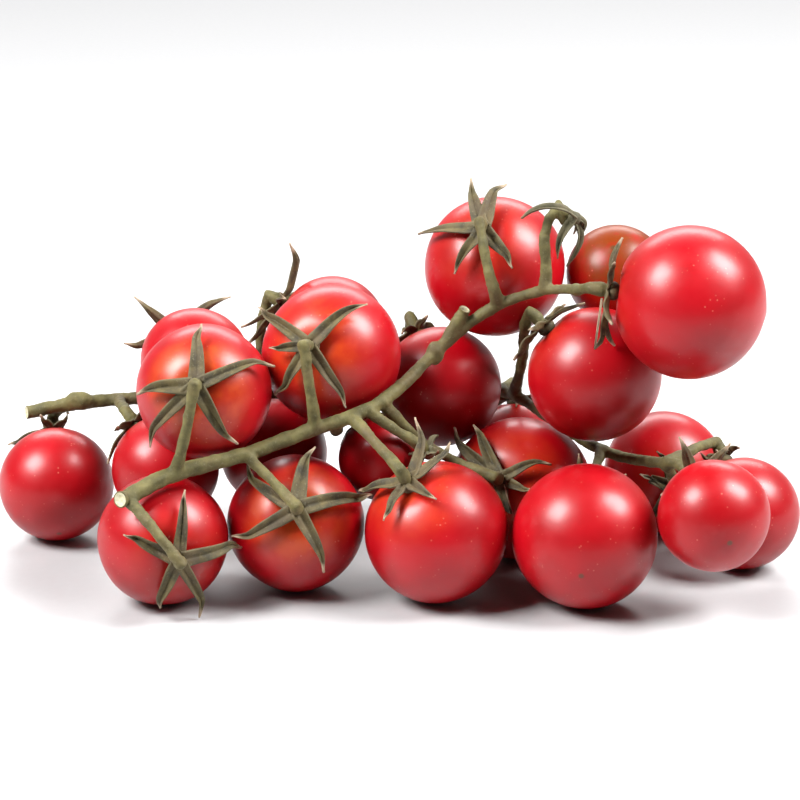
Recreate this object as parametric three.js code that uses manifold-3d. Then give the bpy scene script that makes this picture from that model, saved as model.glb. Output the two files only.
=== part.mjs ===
// A forked truss of ripe vine tomatoes, lying on a flat surface as it was picked.
// +X runs along the truss from the cut ends, +Y goes to its far side and +Z is up. The origin is
// the middle of the whole truss, on the surface that it lies on. All sizes are in millimetres.
import * as THREE from "three";
import { mergeVertices } from "three/addons/utils/BufferGeometryUtils.js";
import Module from "manifold-3d";

const wasm = await Module();
wasm.setup();

// Driving dimensions
const FRUIT_WIDTH = 30; // a fruit of size 1
const RACHIS_WIDTH = 3.6; // the main stem, at its cut end
const PEDICEL_WIDTH = 2.2; // the stalk of one fruit
const HUB_WIDTH = 4.8; // the green disc that the sepals grow from
const HUB_HEIGHT = 1.5;
const SEPAL_LENGTH = 15; // a sepal of length 1, along its curve
const SEPAL_WIDTH = 3.4;
const SEPAL_THICKNESS = 0.8;
const SEPAL_LIFT = 1.2; // how far a sepal's tip stands off the skin
const REST_DEPTH = 0.25; // how far a fruit flattens where it rests
const GAP = 0.3; // clear space between two pieces that touch
const PEDICEL_END = 1.2; // length of a stalk's straight end, as a share of its width

// Places are laid out for fruits of this width, and grow and shrink with FRUIT_WIDTH.
const LAYOUT_FRUIT_WIDTH = 30;
const SCALE = FRUIT_WIDTH / LAYOUT_FRUIT_WIDTH;

const FRUIT_SIDES = 12;
const FRUIT_BANDS = 8;
const STEM_SIDES = 6;
const STEM_STEP = 4; // length of one straight step of a stem
const HUB_SIDES = 6;
const SEPAL_SIDES = 3; // flat below, with a keel along the middle
const SEPAL_STEPS = 4;
const CLEAR_ROUNDS = 30; // rounds of pushing a route clear of its neighbours
const SMOOTHING = 0.1; // how far each round draws a stem point to the middle of its neighbours
const FILL_STEP = 0.25; // spacing of the balls that fill a piece, as a share of one straight step

// Each fruit: where its middle is, its size as a share of FRUIT_WIDTH, and the way that its stem
// end faces. A fruit that rests has its height from its size. Each sepal is its clock direction
// in degrees, its length as a share of SEPAL_LENGTH, and how much more its tip lifts.
const FRUITS = [
  { at: [-48.5, -24.5], size: 0.92, faces: [0.28, -0.96, 0.06], rests: true,
    sepals: [[5, 1.05, 0], [295, 0.9, 0.5], [82, 1.25, 1.5], [200, 0.95, 0], [147, 1.15, 2]] },
  { at: [-40, -13.5, 42.5], size: 0.95, faces: [-0.05, -0.92, 0.38],
    sepals: [[2, 1, 0.5], [64, 1.35, 0.5], [268, 0.95, 0.5], [228, 1.35, 0], [150, 1.1, 1]] },
  { at: [-13.5, -1.5, 47], size: 0.99, faces: [-0.28, -0.88, 0.39],
    sepals: [[306, 1.2, 2.5], [42, 1.1, 1], [214, 0.95, 1], [145, 1.1, 0.5], [265, 0.6, 0]] },
  { at: [-21, -16.5], size: 0.97, faces: [0.04, -0.86, 0.51], rests: true,
    sepals: [[8, 1.1, 1], [302, 1.15, 1.5], [72, 1.4, 1], [240, 1.1, 0.5], [150, 1.05, 0.5]] },
  { at: [8.5, -23.5], size: 1.01, faces: [-0.38, -0.4, 0.84], rests: true,
    sepals: [[5, 0.95, 7], [40, 0.95, 3], [264, 1, 1], [196, 0.7, 0.5], [120, 0.6, 0.5]] },
  { at: [21.5, 17.5, 61], size: 1.02, faces: [-0.19, -0.69, 0.7],
    sepals: [[340, 0.95, 2], [10, 0.95, 2], [277, 1.25, 1], [209, 0.8, 1], [138, 0.8, 1]] },
  { at: [61, -15, 62.5], size: 1.07, faces: [-0.985, 0.09, 0.12],
    sepals: [[3, 0.8, 1.5], [45, 0.7, 1], [130, 0.8, 1], [178, 0.95, 3], [200, 0.95, 1]] },
  { at: [48, 20, 58.5], size: 0.73, faces: [0.12, 0.66, -0.74],
    sepals: [[0, 0.7, 0], [75, 0.7, 0.5], [140, 0.8, 0.5], [215, 0.7, 1], [290, 0.8, 0]] },
  { at: [-74.5, 13.5], size: 0.845, faces: [-0.1, 0.74, 0.66], rests: true,
    sepals: [[35, 0.75, 1], [110, 0.8, 0.5], [180, 0.8, 0], [250, 0.85, 0], [315, 0.85, 0.5]] },
  { at: [-49.5, 1, 20.5], size: 0.775, faces: [-0.55, 0.57, 0.61],
    sepals: [[20, 0.6, 0], [95, 0.7, 0], [165, 0.75, 0], [240, 0.7, 0], [305, 0.6, 0]] },
  { at: [-43.5, 13.5, 40.5], size: 0.795, faces: [-0.33, 0.93, 0.17],
    sepals: [[50, 1.05, 5], [100, 1, 2], [180, 0.8, 0], [255, 0.8, 0], [330, 1.15, 2.5]] },
  { at: [-14, 26, 44], size: 0.805, faces: [-0.84, 0.39, 0.38],
    sepals: [[5, 0.95, 6.5], [75, 0.85, 1], [128, 0.85, 6], [165, 0.85, 5], [290, 0.8, 0]] },
  { at: [-26.5, 9, 21.5], size: 0.785, faces: [-0.02, 0.85, 0.52],
    sepals: [[0, 0.5, 0], [72, 0.7, 0], [144, 0.7, 0], [216, 0.7, 0], [288, 0.7, 0]] },
  { at: [10, 16.5, 34], size: 0.88, faces: [-0.38, 0.59, 0.71],
    sepals: [[20, 0.75, 1.5], [70, 0.75, 2], [150, 0.8, 0], [220, 0.8, 0], [300, 0.8, 0.5]] },
  { at: [-3, -4, 24.5], size: 0.61, faces: [-0.35, 0.75, 0.55],
    sepals: [[10, 0.45, 0], [80, 0.5, 0], [150, 0.5, 0], [220, 0.5, 0], [290, 0.5, 0]] },
  { at: [27, 2.5], size: 1.035, faces: [-0.3, -0.85, 0.43], rests: true,
    sepals: [[306, 1.35, 3], [332, 1.05, 1], [60, 0.8, 0.5], [110, 0.55, 1.5], [165, 0.6, 1.5]] },
  { at: [42.5, 0, 42], size: 0.965, faces: [-0.72, 0.15, 0.68],
    sepals: [[52, 0.85, 1], [110, 0.6, 2.5], [180, 0.7, 0], [250, 0.7, 0], [320, 0.7, 0]] },
  { at: [27, 33.5, 14], size: 0.705, faces: [0, 0.4, 0.92],
    sepals: [[0, 0.6, 0], [72, 0.7, 0], [144, 0.7, 0], [216, 0.7, 0], [288, 0.7, 0]] },
  { at: [39.5, -26.5], size: 1.02, faces: [0.1, 0.97, 0.21], rests: true,
    sepals: [[10, 0.8, 0], [80, 0.8, 0], [150, 0.8, 0], [225, 0.7, 0], [300, 0.7, 0]] },
  { at: [59.5, 19], size: 0.905, faces: [0.05, -0.99, 0.09], rests: true,
    sepals: [[350, 0.6, 0], [50, 0.6, 0.5], [125, 0.75, 0.5], [215, 0.7, 0.5], [296, 0.6, 3]] },
  { at: [65.5, -33, 22], size: 0.775, faces: [-0.2, 0.97, 0.16],
    sepals: [[22, 1.05, 4.5], [95, 0.7, 0.5], [165, 0.8, 0], [235, 0.7, 0], [320, 0.7, 1]] },
  { at: [74.5, -4.5], size: 0.825, faces: [-0.3, 0.57, 0.77], rests: true,
    sepals: [[60, 0.7, 4.5], [110, 0.7, 3], [155, 0.7, 0], [240, 0.7, 0], [330, 0.7, 0]] },
];

// The two arms of the main stem, from the cut end to the tip, and the neck that joins them.
const FRONT_ARM = [
  [-55, -35, 26.5], [-52, -33.5, 28.5], [-44.5, -28, 30.5], [-37.5, -25.5, 31], [-31, -23, 31],
  [-24, -19.5, 33.5], [-16.5, -18, 36.5], [-9.5, -17, 37.5], [-2, -13.5, 39.5], [5, -3.5, 45],
  [11.5, 0, 49.5], [17, 2, 55.5], [22, 1.5, 57.5], [28.5, -1.5, 61], [32, -4, 63],
  [37.5, -9, 63.5],
];
const BACK_ARM = [
  [-81, 23, 26], [-73, 23.5, 28], [-59, 25, 28.5], [-44, 26.5, 29], [-29.5, 27.5, 29],
  [-13.5, 29.5, 28.5], [1, 33, 28], [13.5, 34, 28.5], [22, 29.5, 30], [29.5, 19.5, 29.5],
  [36.5, 13.5, 25.5], [42.5, 8, 23], [48.5, 0, 23], [54, -7, 24.5], [60, -13, 26.5],
];
const NECK = [[-13.5, -17, 36.5], [-12.5, -4, 31], [-12.5, 11.5, 27], [-13.5, 29.5, 28.5]];
const STUB = [[11, 0, 49.5], [12.5, -0.5, 53], [14.5, 0, 56]]; // a side shoot, cut off
const BACK_WIDTH = 0.82; // width of the back arm at its cut end, as a share of RACHIS_WIDTH
const TIP_WIDTH = 0.62; // width of an arm at its tip, as a share of RACHIS_WIDTH
const NECK_WIDTH = 0.65;
const STUB_WIDTH = 0.7;

// The stalk of each fruit, in the order of FRUITS: the places it passes, from the main stem. It
// then goes on to the hub by itself.
const PEDICELS = [
  [[-53.5, -34.5, 27.5], [-50.5, -38.5, 24], [-48, -41, 20]],
  [[-44.5, -28, 30.5], [-42.5, -31.5, 39]],
  [[-18, -18, 36], [-17.5, -20, 43.5]],
  [[-31, -23, 31], [-26, -28.5, 28.5]],
  [[-10, -17, 37], [-4, -23, 34.5]],
  [[21.5, 1.5, 57], [19.5, -0.5, 65]],
  [[36, -8, 63.5], [40, -11.5, 64]],
  [[31, 16, 42], [39.5, 26, 44], [48, 32, 45]],
  [[-73, 23.5, 28], [-74.5, 26, 25.5]],
  [[-63, 24.5, 28.5], [-60, 17, 29]],
  [[-49, 26.5, 29], [-49.5, 31, 36]],
  [[-31, 27.5, 29], [-31, 33, 40]],
  [[-29.5, 27.5, 29], [-27.5, 24, 29]],
  [[1, 33, 28], [3, 36, 38]],
  [[-12.5, 8, 28], [-10, 9, 31]],
  [[2, -14.5, 32], [7, -9, 27.5], [15, -10.5, 25]],
  [[27, 24.5, 30], [28, 16, 40], [28, 9, 49]],
  [[23, 29, 30], [26, 37, 30]],
  [[43.5, 6, 23], [42.5, -4, 21]],
  [[57, -10.5, 25.5], [60, -5, 20]],
  [[60, -13, 26.5], [62.5, -15.5, 25]],
  [[58, -11, 26], [65, -3, 27]],
];

// Withered flowers, which set no fruit: as above, but the sepals close round an empty space.
const WITHERED = [
  { at: [36.5, -1.5, 73], faces: [-0.3, 0.09, 0.92],
    sepals: [[265, 0.75, 5], [130, 0.6, 1], [180, 0.7, 0.5], [40, 0.35, 1]] },
  { at: [9, -13, 27.5], faces: [-0.7, -0.23, 0.6],
    sepals: [[10, 0.35, 1], [90, 0.4, 1], [180, 0.35, 0.5], [260, 0.35, 1]] },
];
const WITHERED_PEDICELS = [
  [[32, -4, 63], [33, -3.5, 69.5]],
  [[-5, -15, 38.5], [0, -15, 34]],
];
const WITHERED_WIDTH = 5; // the space that a withered flower's sepals close round
const WITHERED_HUB = 0.8; // size of a withered flower's hub, as a share of a fruit's

const skin = { color: 0xc4061c, roughness: 0.3, metalness: 0 };
const green = { color: 0x6f7440, roughness: 0.75, metalness: 0 };
const dryGreen = { color: 0x77704c, roughness: 0.85, metalness: 0 };

const vector = ([x, y, z]) => new THREE.Vector3(x, y, z);
const placed = (point) => vector(point).multiplyScalar(SCALE);

// A closed geometry as a solid, and a solid as a geometry.
function solidOf(geometry) {
  const bare = geometry.index ? geometry.toNonIndexed() : geometry.clone();
  bare.deleteAttribute("normal");
  bare.deleteAttribute("uv");
  const merged = mergeVertices(bare, 1e-4);
  return new wasm.Manifold(
    new wasm.Mesh({
      numProp: 3,
      vertProperties: merged.attributes.position.array,
      triVerts: new Uint32Array(merged.index.array),
    }),
  );
}

function geometryOf(solid) {
  const mesh = solid.getMesh();
  const geometry = new THREE.BufferGeometry();
  geometry.setAttribute("position", new THREE.BufferAttribute(mesh.vertProperties, 3));
  geometry.setIndex(new THREE.BufferAttribute(mesh.triVerts, 1));
  return geometry;
}

// Moves a point straight out of every ball that it is nearer to than its own radius and GAP.
function pushClear(point, radius, balls) {
  for (const ball of balls) {
    const need = ball.radius + radius + GAP;
    const away = point.clone().sub(ball.centre);
    if (away.length() < need) point.copy(ball.centre).add(away.setLength(need));
  }
}

// Fruits that touch move apart, each by half, until GAP is between them. A resting fruit stays
// on the surface.
function settle(fruits) {
  for (let round = 0; round < CLEAR_ROUNDS; round++) {
    for (const [i, a] of fruits.entries()) {
      for (const b of fruits.slice(i + 1)) {
        const apart = b.centre.clone().sub(a.centre);
        const short = a.radius + b.radius + GAP - apart.length();
        if (short <= 0) continue;
        apart.setLength(short / 2);
        a.centre.sub(apart);
        b.centre.add(apart);
      }
    }
    for (const fruit of fruits) if (fruit.rests) fruit.centre.z = fruit.radius - REST_DEPTH;
  }
}

// A body of changing width along a line of points: a closed cylinder, bent. Its section is
// widths[i] across and depths[i] through, and the depth points along normals[i].
function sweep(points, widths, depths, normals, sides) {
  const steps = points.length - 1;
  const geometry = new THREE.CylinderGeometry(0.5, 0.5, 1, sides, steps);
  const position = geometry.attributes.position;
  const place = new THREE.Vector3();
  for (let i = 0; i < position.count; i++) {
    const at = Math.round((0.5 - position.getY(i)) * steps);
    const before = points[Math.max(at - 1, 0)];
    const along = points[Math.min(at + 1, steps)].clone().sub(before).normalize();
    const side = normals[at].clone().cross(along).normalize();
    const normal = along.clone().cross(side);
    place.copy(points[at]);
    place.addScaledVector(side, position.getX(i) * widths[at]);
    place.addScaledVector(normal, position.getZ(i) * depths[at]);
    position.setXYZ(i, place.x, place.y, place.z);
  }
  return geometry;
}

// Points at even steps through the given places, kept clear of the balls.
function routeOf(places, width, balls) {
  const curve = new THREE.CatmullRomCurve3(places, false, "centripetal");
  const steps = Math.max(3, Math.round(curve.getLength() / STEM_STEP));
  const points = curve.getSpacedPoints(steps);
  for (let round = 0; round < CLEAR_ROUNDS; round++) {
    for (let i = 1; i < steps; i++) {
      const middle = points[i - 1].clone().add(points[i + 1]).multiplyScalar(0.5);
      points[i].lerp(middle, SMOOTHING);
    }
    for (let i = 1; i < steps; i++) pushClear(points[i], width(i / steps) / 2, balls);
  }
  return points;
}

// Balls that fill a sweep of these points and widths.
function fillingOf(points, widths) {
  const filling = [];
  for (let i = 1; i < points.length; i++) {
    for (let part = 0; part < 1; part += FILL_STEP) {
      const centre = points[i - 1].clone().lerp(points[i], part);
      const width = THREE.MathUtils.lerp(widths[i - 1], widths[i], part);
      filling.push({ centre, radius: width / 2 });
    }
  }
  return filling;
}

// A round stem along the points. width is a function of the share of the way along. It gives its
// solid, its points and the balls that fill it.
function stem(points, width) {
  const last = points.length - 1;
  const widths = points.map((point, i) => width(i / last));
  const normals = [];
  let normal = new THREE.Vector3(0.3, -0.8, 0.52);
  for (let i = 0; i <= last; i++) {
    const along = points[Math.min(i + 1, last)].clone().sub(points[Math.max(i - 1, 0)]);
    along.normalize();
    normal = normal.clone().addScaledVector(along, -normal.dot(along)).normalize();
    normals.push(normal);
  }
  const solid = solidOf(sweep(points, widths, widths, normals, STEM_SIDES));
  return { solid, points, filling: fillingOf(points, widths) };
}

const nearestOf = (points, place) =>
  points.reduce((a, b) => (a.distanceTo(place) < b.distanceTo(place) ? a : b));
const taper = (from, to) => (share) => (from + (to - from) * share) * RACHIS_WIDTH;
// A stalk widens a little where it leaves the main stem, and more towards its hub.
const pedicelWidth = (share) =>
  PEDICEL_WIDTH * (1 + 0.35 * Math.max(0, 1 - 4 * share) + 0.45 * Math.max(0, 3 * share - 2));

// A fruit: round, its axis upright, and flat underneath by REST_DEPTH where it rests.
function fruitGeometry(radius, rests) {
  const floor = rests ? REST_DEPTH - radius : -radius;
  const start = Math.asin(floor / radius);
  const profile = [new THREE.Vector2(0, floor)];
  for (let i = rests ? 0 : 1; i < FRUIT_BANDS; i++) {
    const angle = start + ((Math.PI / 2 - start) * i) / FRUIT_BANDS;
    profile.push(new THREE.Vector2(radius * Math.cos(angle), radius * Math.sin(angle)));
  }
  profile.push(new THREE.Vector2(0, radius));
  const geometry = new THREE.LatheGeometry(profile, FRUIT_SIDES);
  geometry.rotateX(Math.PI / 2);
  return geometry;
}

// The two directions across an axis: the first is the most upward one, the second is clockwise.
function acrossOf(axis) {
  const upward = new THREE.Vector3(0, 0.31, 0.95);
  upward.addScaledVector(axis, -upward.dot(axis)).normalize();
  return [upward, upward.clone().cross(axis)];
}

// A sepal's width and thickness, as shares, at a share of the way to its tip. It is widest about
// a third of the way along. A short sepal is also narrower, down to SHORT_WIDTH.
const SEPAL_ROOT = 0.3; // where a sepal starts, as a share of the hub's half width
const SHORT_WIDTH = 0.6;
const sepalWidth = (share) => 0.7 + 1.2 * share - 1.75 * share ** 2;
const sepalThickness = (share) => 1 - 0.45 * share;

// The green star on one ball of skin: a domed hub with its sepals, lying just off the skin.
function calyx({ centre, radius, axis, sepals, hubSize }, balls) {
  const [upward, clockwise] = acrossOf(axis);
  const half = (HUB_WIDTH / 2) * hubSize;
  const height = HUB_HEIGHT * hubSize;
  const profile = [
    [0, 0], [half, 0], [half * 0.65, height], [0, height],
  ].map(([x, y]) => new THREE.Vector2(x, y));
  const hub = new THREE.LatheGeometry(profile, HUB_SIDES);
  hub.applyQuaternion(new THREE.Quaternion().setFromUnitVectors(new THREE.Vector3(0, 1, 0), axis));
  const foot = centre.clone().addScaledVector(axis, radius + GAP);
  hub.translate(foot.x, foot.y, foot.z);
  let solid = solidOf(hub);
  const filling = [{ centre: foot, radius: half }];
  for (const [clock, length, lift] of sepals) {
    const turn = THREE.MathUtils.degToRad(clock);
    const out = upward.clone().multiplyScalar(Math.cos(turn));
    out.addScaledVector(clockwise, Math.sin(turn));
    const narrow = Math.min(1, SHORT_WIDTH + (1 - SHORT_WIDTH) * length);
    const points = [];
    const normals = [];
    const widths = [];
    const depths = [];
    const start = half * SEPAL_ROOT;
    for (let i = 0; i <= SEPAL_STEPS; i++) {
      const share = i / SEPAL_STEPS;
      const reach = start + (SEPAL_LENGTH * length - start) * share;
      const above = GAP + 0.6 * SEPAL_THICKNESS + (SEPAL_LIFT + lift) * share ** 2;
      const angle = reach / (radius + above);
      const normal = axis.clone().multiplyScalar(Math.cos(angle));
      normal.addScaledVector(out, Math.sin(angle));
      const point = centre.clone().addScaledVector(normal, radius + above);
      widths.push(SEPAL_WIDTH * sepalWidth(share) * narrow);
      depths.push(SEPAL_THICKNESS * sepalThickness(share));
      if (i > 1)
        for (let round = 0; round < CLEAR_ROUNDS; round++) pushClear(point, widths[i] / 2, balls);
      points.push(point);
      normals.push(normal);
    }
    solid = solid.add(solidOf(sweep(points, widths, depths, normals, SEPAL_SIDES)));
    filling.push(...fillingOf(points.slice(1), widths.slice(1)));
  }
  return { solid, filling };
}

const truss = new THREE.Group();

function addMesh(name, geometry, look) {
  const mesh = new THREE.Mesh(geometry, new THREE.MeshStandardMaterial(look));
  mesh.name = name;
  truss.add(mesh);
  return mesh;
}

const numbered = (name, i) => name + "_" + String(i + 1).padStart(2, "0");

// Fruits
const fruits = FRUITS.map(({ at, size, faces, rests = false, sepals }) => {
  const radius = (size * FRUIT_WIDTH) / 2;
  const centre = placed([at[0], at[1], at[2] ?? 0]);
  if (rests) centre.z = radius - REST_DEPTH;
  return { centre, radius, rests, sepals, axis: vector(faces).normalize(), hubSize: 1 };
});
settle(fruits);
fruits.forEach((fruit, i) => {
  const mesh = addMesh(numbered("tomato", i), fruitGeometry(fruit.radius, fruit.rests), skin);
  mesh.position.copy(fruit.centre);
});

// Main stem: two arms, the neck between them, the cut side shoot and all stalks, grown as one.
function grow(places, width) {
  return stem(routeOf(places, width, fruits), width);
}
const frontArm = grow(FRONT_ARM.map(placed), taper(1, TIP_WIDTH));
const backArm = grow(BACK_ARM.map(placed), taper(BACK_WIDTH, TIP_WIDTH));
const neckRoute = NECK.map(placed);
neckRoute[0] = nearestOf(frontArm.points, neckRoute[0]);
neckRoute[3] = nearestOf(backArm.points, neckRoute[3]);
const neck = grow(neckRoute, taper(NECK_WIDTH, NECK_WIDTH));
const onArms = [...frontArm.points, ...backArm.points, ...neck.points];
const stubRoute = STUB.map(placed);
stubRoute[0] = nearestOf(frontArm.points, stubRoute[0]);
const stub = grow(stubRoute, taper(STUB_WIDTH, STUB_WIDTH));
const stems = [frontArm, backArm, neck, stub];

// A stalk leaves the stem point nearest to its first place. It passes above the sepals of its own
// fruit and comes to the hub along the axis.
function pedicel(route, { centre, radius, axis, hubSize }) {
  const places = route.map(placed);
  places[0] = nearestOf(onArms, places[0]);
  const hubTop = radius + 2 * GAP + HUB_HEIGHT * hubSize;
  const own = { centre, radius: hubTop };
  const above = centre.clone().addScaledVector(axis, hubTop + PEDICEL_END * PEDICEL_WIDTH);
  const points = routeOf([...places, above], pedicelWidth, [...fruits, own]);
  points.push(centre.clone().addScaledVector(axis, hubTop));
  return stem(points, pedicelWidth);
}
const withered = WITHERED.map(({ at, faces, sepals }) => {
  const axis = vector(faces).normalize();
  return { centre: placed(at), radius: WITHERED_WIDTH / 2, sepals, axis, hubSize: WITHERED_HUB };
});
const routes = [...PEDICELS, ...WITHERED_PEDICELS];
[...fruits, ...withered].forEach((end, i) => {
  const stalk = pedicel(routes[i], end);
  onArms.push(...stalk.points.slice(1, -2));
  stems.push(stalk);
});
const vine = stems.map(({ solid }) => solid).reduce((a, b) => a.add(b));
addMesh("vine", geometryOf(vine), green);

// Calyxes, each kept clear of the vine and of those before it
const balls = [...fruits, ...stems.flatMap(({ filling }) => filling)];
fruits.forEach((fruit, i) => {
  const { solid, filling } = calyx(fruit, balls);
  balls.push(...filling);
  addMesh(numbered("calyx", i), geometryOf(solid), green);
});

// Withered flowers: an empty hub with sepals that curl back past it
withered.forEach((flower, i) => {
  const { solid, filling } = calyx(flower, balls);
  balls.push(...filling);
  addMesh("withered_flower_" + (i + 1), geometryOf(solid), dryGreen);
});

// The origin goes under the middle of the whole truss.
const box = new THREE.Box3().setFromObject(truss, true);
const middle = box.getCenter(new THREE.Vector3());
truss.position.set(-middle.x, -middle.y, -box.min.z);

export default truss;
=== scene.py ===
# %% [markdown]
# # A forked truss of vine tomatoes
#
# A truss is one stem with many fruits. This lesson takes a plain CAD truss, which has every piece at
# its right size and place, and gives it looks: 22 fruits with a soft shine, the green star that each
# fruit hangs from, two withered flowers, and the hairy stem that carries them all.
#
# The CAD model stays as a fixed frame. Each new piece is built where its CAD piece is and stands for
# it, so nothing has to be fitted afterwards.

import math
import random

import bpy
from mathutils import Matrix, Vector
from mathutils.bvhtree import BVHTree


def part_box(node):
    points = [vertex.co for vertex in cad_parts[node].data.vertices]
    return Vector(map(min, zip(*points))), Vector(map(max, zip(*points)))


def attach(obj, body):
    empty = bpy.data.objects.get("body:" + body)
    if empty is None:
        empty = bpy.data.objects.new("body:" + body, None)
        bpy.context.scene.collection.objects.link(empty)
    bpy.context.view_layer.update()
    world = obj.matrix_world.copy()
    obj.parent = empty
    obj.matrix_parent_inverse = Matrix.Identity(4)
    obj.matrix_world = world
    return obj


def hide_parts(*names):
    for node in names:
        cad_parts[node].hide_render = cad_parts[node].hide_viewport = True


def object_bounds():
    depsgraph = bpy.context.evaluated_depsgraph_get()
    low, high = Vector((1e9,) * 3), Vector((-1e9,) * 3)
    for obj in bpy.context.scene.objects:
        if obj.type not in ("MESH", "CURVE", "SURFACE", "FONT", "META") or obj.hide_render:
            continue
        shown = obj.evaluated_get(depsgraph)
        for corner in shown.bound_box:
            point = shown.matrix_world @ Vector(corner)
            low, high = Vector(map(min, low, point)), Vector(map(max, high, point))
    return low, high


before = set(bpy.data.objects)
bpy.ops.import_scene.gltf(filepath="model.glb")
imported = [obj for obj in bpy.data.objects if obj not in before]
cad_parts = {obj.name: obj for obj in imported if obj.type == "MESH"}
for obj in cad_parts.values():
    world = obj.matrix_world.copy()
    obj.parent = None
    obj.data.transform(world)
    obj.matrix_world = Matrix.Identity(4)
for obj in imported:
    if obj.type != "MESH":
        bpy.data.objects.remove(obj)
cad_low, cad_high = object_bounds()
MM = 0.001
print("CAD box in mm:", [round(side / MM, 1) for side in cad_high - cad_low])

# %% [markdown]
# ## The camera
#
# The truss lies on a table and is looked at from the front and a little above, through a long lens
# that hardly distorts. A camera looks along its own -Z axis, so `to_track_quat` turns that axis to
# the point we aim at. The aim is given from the middle of the truss.

# %% Camera
LENS = 150
CAMERA_DISTANCE = 0.7
LOOK_DOWN = math.radians(18)
AIM_FROM_MIDDLE = Vector((0.00115, -0.01122, -0.0004))

aim = (cad_low + cad_high) / 2 + AIM_FROM_MIDDLE
toward_camera = Vector((0, -math.cos(LOOK_DOWN), math.sin(LOOK_DOWN)))
bpy.ops.object.camera_add(location=aim + toward_camera * CAMERA_DISTANCE)
camera = bpy.context.object
camera.rotation_mode = "QUATERNION"
camera.rotation_quaternion = (-toward_camera).to_track_quat("-Z", "Y")
camera.data.lens = LENS
camera.data.clip_start = 0.01
bpy.context.scene.camera = camera
print("camera at", [round(x, 3) for x in camera.location])

# %% [markdown]
# ## Node helpers
#
# A material is a small graph of nodes. Two helpers keep the graphs short to write: one starts a
# finish with its Principled shader, the other adds a node, sets its properties, and fills each input
# with either a number or the output of an earlier node.

# %% Helpers for finishes
def new_finish(name):
    """A material with only its Principled shader, and that shader."""
    finish = bpy.data.materials.new(name)
    finish.use_nodes = True
    return finish, finish.node_tree.nodes["Principled BSDF"]


def plug(tree, socket, value):
    """Links an output to the socket, or sets the socket's own number or colour."""
    if isinstance(value, bpy.types.NodeSocket):
        tree.links.new(value, socket)
    else:
        socket.default_value = value


def node(finish, kind, inputs, **settings):
    """Adds a shader node and gives back its first output."""
    tree = finish.node_tree
    made = tree.nodes.new("ShaderNode" + kind)
    for name, value in settings.items():
        setattr(made, name, value)
    for name, value in inputs.items():
        plug(tree, made.inputs[name], value)
    return made.outputs[0]


def ramp(finish, value, low, high, to_low=0.0, to_high=1.0):
    """A smooth step: to_low below low, to_high above high."""
    inputs = {"Value": value, "From Min": low, "From Max": high, "To Min": to_low, "To Max": to_high}
    return node(finish, "MapRange", inputs, interpolation_type="SMOOTHSTEP")


def blend_colour(finish, share, first, second):
    """A mix of two colours."""
    tree = finish.node_tree
    made = tree.nodes.new("ShaderNodeMix")
    made.data_type = "RGBA"
    plug(tree, made.inputs["Factor"], share)
    plug(tree, made.inputs[6], first)
    plug(tree, made.inputs[7], second)
    return made.outputs[2]


def multiply(finish, first, second):
    """The product of two numbers."""
    tree = finish.node_tree
    made = tree.nodes.new("ShaderNodeMath")
    made.operation = "MULTIPLY"
    plug(tree, made.inputs[0], first)
    plug(tree, made.inputs[1], second)
    return made.outputs[0]


def add_numbers(finish, first, second):
    """The sum of two numbers."""
    tree = finish.node_tree
    made = tree.nodes.new("ShaderNodeMath")
    made.operation = "ADD"
    plug(tree, made.inputs[0], first)
    plug(tree, made.inputs[1], second)
    return made.outputs[0]


def piece_place(finish):
    """Object coordinates: the place of each point in the piece, in metres."""
    return finish.node_tree.nodes.new("ShaderNodeTexCoord").outputs["Object"]


def mottle(finish, size, detail=2.0, rough=0.5):
    """Noise whose blotches are about `size` metres across."""
    inputs = {"Vector": piece_place(finish), "Scale": 1 / size, "Detail": detail, "Roughness": rough}
    return node(finish, "TexNoise", inputs)


def painted(finish, name):
    """A number that was stored on the mesh under this name."""
    made = finish.node_tree.nodes.new("ShaderNodeAttribute")
    made.attribute_name = name
    return made.outputs["Fac"]


def bumps(finish, height, depth, before=None):
    """A bump of this depth in metres, on top of an earlier bump."""
    inputs = {"Height": height, "Distance": depth, "Strength": 1.0}
    if before is not None:
        inputs["Normal"] = before
    return node(finish, "Bump", inputs)


# %% [markdown]
# ## Floor and light
#
# The table is a plain pale sheet. Two soft boxes hang over the truss, one to the left and a little in
# front, one to the right: a lamp that is large for its distance gives the soft highlight that waxy
# skin shows. The right one is hardly in front at all, so its highlight sits nearer the rim. A wide
# lamp behind lights the far part of the table. The surroundings are dim towards the camera and bright
# behind the truss, which keeps the red deep and gives each fruit a pale upper rim.

# %% Floor
FLOOR_SIZE = 6.0

bpy.ops.mesh.primitive_plane_add(size=FLOOR_SIZE, location=(0, 0, 0))
floor = bpy.context.object
floor.name = "floor"
floor_finish, floor_shader = new_finish("pale_table")
floor_grain = mottle(floor_finish, 0.002, 3)
floor_colour = blend_colour(floor_finish, floor_grain, (0.41, 0.41, 0.415, 1), (0.44, 0.44, 0.445, 1))
plug(floor_finish.node_tree, floor_shader.inputs["Base Color"], floor_colour)
floor_shader.inputs["Roughness"].default_value = 0.45
floor_shader.inputs["IOR"].default_value = 1.6
floor.data.materials.append(floor_finish)

# %% Soft boxes
def add_softbox(name, direction, distance, width, height, power):
    """A rectangular lamp that looks at the middle of the truss."""
    outward = Vector(direction).normalized()
    bpy.ops.object.light_add(type="AREA", location=aim + outward * distance)
    lamp = bpy.context.object
    lamp.name = name
    lamp.rotation_mode = "QUATERNION"
    lamp.rotation_quaternion = (-outward).to_track_quat("-Z", "Y")
    lamp.data.shape = "RECTANGLE"
    lamp.data.size = width
    lamp.data.size_y = height
    lamp.data.energy = power
    return lamp


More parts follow.
